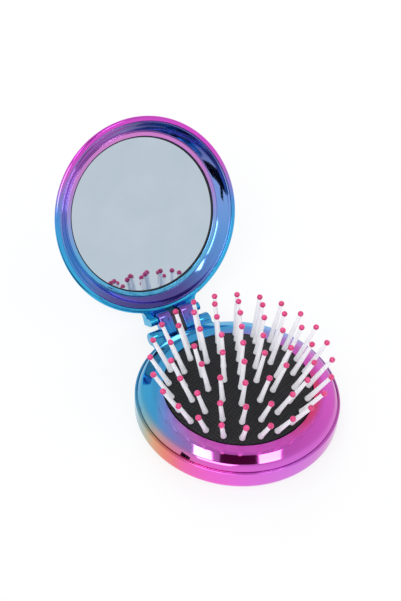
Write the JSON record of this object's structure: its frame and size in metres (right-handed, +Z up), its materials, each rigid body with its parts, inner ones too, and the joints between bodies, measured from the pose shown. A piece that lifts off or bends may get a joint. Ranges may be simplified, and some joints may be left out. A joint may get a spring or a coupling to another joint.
{
  "type": "folding hairbrush with mirror",
  "caption": "Round pocket hairbrush, open: a base with a domed pop-up rubber pad of ball-tipped pins, and a dished mirror lid on a link that hinges at both ends.",
  "frame": {"origin": "on the surface that the base stands on, at the middle of the open brush's outline; the base's own axis stands 27.07 mm ahead of it, towards -Y", "axes": "+Z up along the base's axis, out of the pad; +Y from the base to the hinge and the lid; +X to the right seen from the base's front"},
  "size_m": [0.072, 0.1262, 0.0685],
  "materials": {
    "shell_metallised": "vacuum-metallised iridescent, gloss",
    "bezel_metallised": "vacuum-metallised iridescent, gloss",
    "lid_metallised": "vacuum-metallised iridescent, gloss",
    "link_metallised": "vacuum-metallised iridescent, gloss",
    "inner_plastic": "moulded, unpainted",
    "button_plastic": "moulded, satin",
    "pad_rubber": "soft, finely textured",
    "pin_nylon": "moulded, semi-gloss",
    "ball_tip": "dipped, gloss",
    "gasket_black": "soft, plain",
    "mirror_silver": "silvered glass",
    "foam_white": "adhesive foam",
    "hinge_steel": "drawn"
  },
  "bodies": {
    "base": {"base_shell": "shell_metallised", "base_bezel": "bezel_metallised", "pad_clamp_ring": "inner_plastic", "base_hinge_pin": "hinge_steel"},
    "link": {"hinge_link": "link_metallised"},
    "lid": {"lid_shell": "lid_metallised", "mirror_frame": "lid_metallised", "mirror_gasket": "gasket_black", "mirror_glass": "mirror_silver", "mirror_foam": "foam_white", "mirror_tray": "inner_plastic", "lid_hinge_pin": "hinge_steel"},
    "pop_up": {"push_button": "button_plastic", "bristle_pad": "pad_rubber", "pin_centre": "pin_nylon", "pins_inner_ring": "pin_nylon", "pins_second_ring": "pin_nylon", "pins_third_ring": "pin_nylon", "pins_outer_ring": "pin_nylon", "tip_centre": "ball_tip", "tips_inner_ring": "ball_tip", "tips_second_ring": "ball_tip", "tips_third_ring": "ball_tip", "tips_outer_ring": "ball_tip"}
  },
  "joints": [
    {"name": "link_hinge", "type": "hinge", "parent": "base", "child": "link", "pos_m": [0, 0.01383, 0.0036], "axis": [1, 0, 0], "range_deg": [0, 81]},
    {"name": "lid_hinge", "type": "hinge", "parent": "link", "child": "lid", "pos_m": [0, 0.01814, 0.00722], "axis": [1, 0, 0], "range_deg": [0, 41.2]},
    {"name": "pad_slide", "type": "slide", "parent": "base", "child": "pop_up", "axis": [0, 0, 1], "range_m": [-0.013, 0], "deforming": ["bristle_pad", "pin_centre", "pins_inner_ring", "pins_second_ring", "pins_third_ring", "pins_outer_ring", "tip_centre", "tips_inner_ring", "tips_second_ring", "tips_third_ring", "tips_outer_ring"]}
  ],
  "couplings": [
    {"joint": "link_hinge", "follows": "pad_slide", "rad_per_m": -108.74},
    {"joint": "lid_hinge", "follows": "pad_slide", "rad_per_m": -55.306}
  ]
}
